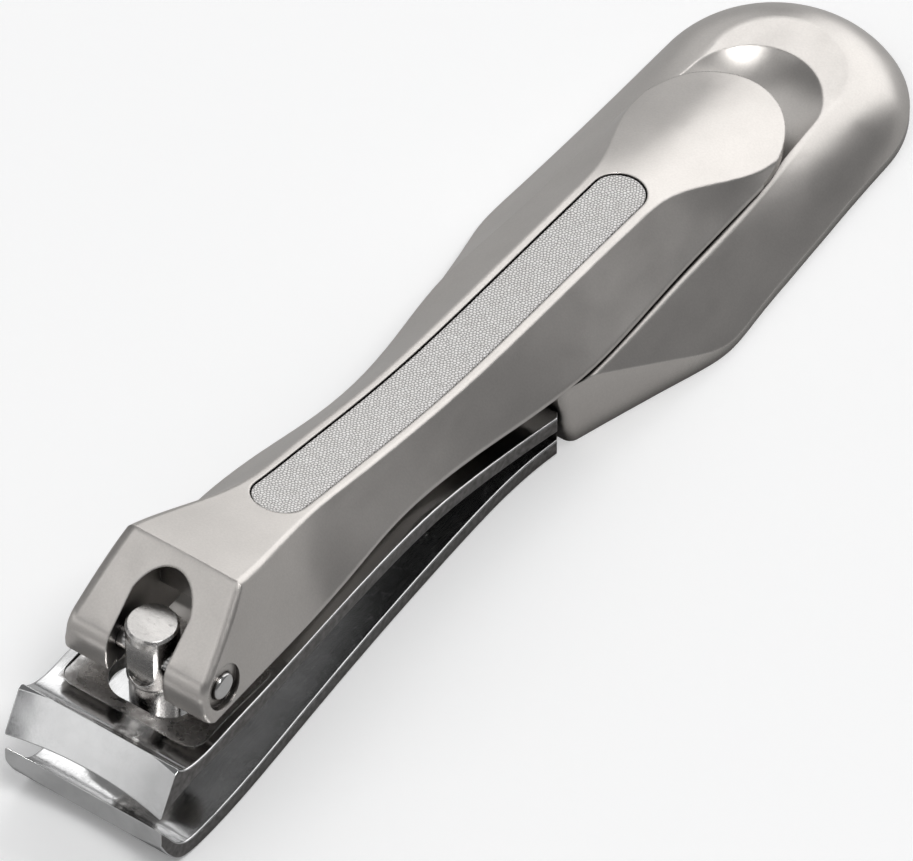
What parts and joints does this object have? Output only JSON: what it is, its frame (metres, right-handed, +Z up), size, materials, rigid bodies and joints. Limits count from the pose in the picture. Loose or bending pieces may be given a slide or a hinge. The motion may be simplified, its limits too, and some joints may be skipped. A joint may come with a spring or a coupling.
{
  "type": "nail clipper",
  "caption": "Folded nail clipper with two sprung leaf blades, concave jaws, a swivelling inlaid cast lever on a pinned post and a flared handle with a finger scoop",
  "frame": {"origin": "centre of the flat base, under the middle of the folded clipper", "axes": "+X to the clipper's right, +Y from the jaws towards the rounded handle end, +Z up out of the lever top"},
  "size_m": [0.0224, 0.0992, 0.0196],
  "materials": {
    "cast_satin": "fine satin nickel plating over a zinc casting",
    "cover_satin": "satin nickel-plated sheet",
    "blade_steel": "polished stainless steel with ground edges",
    "polished_steel": "turned and polished steel",
    "inlay": "off-white pebbled surface with fine dark cell lines",
    "adhesive": "thin dark bonding film"
  },
  "bodies": {
    "handle": {"rear_body": "cast_satin", "base_cover": "cover_satin", "cover_screws": "polished_steel", "lower_blade": "blade_steel", "blade_rivets": "polished_steel"},
    "upper_leaf": {"upper_blade": "blade_steel"},
    "post": {"fulcrum_post": "polished_steel"},
    "lever": {"lever": "cast_satin", "lever_inlay": "inlay", "inlay_adhesive": "adhesive", "lever_pin": "polished_steel"}
  },
  "joints": [
    {"name": "jaw_close", "type": "hinge", "parent": "handle", "child": "upper_leaf", "pos_m": [0, 0.0054, 0.00245], "axis": [1, 0, 0], "range_deg": [0, 1.3], "stiffness_Nm_per_rad": 2},
    {"name": "post_swivel", "type": "hinge", "parent": "handle", "child": "post", "pos_m": [0, -0.0408, 0.008], "axis": [0, 0, 1], "range_deg": [-180, 180]},
    {"name": "lever_lift", "type": "hinge", "parent": "post", "child": "lever", "pos_m": [0, -0.0408, 0.0131], "axis": [1, 0, 0], "range_deg": [0, 135]}
  ]
}
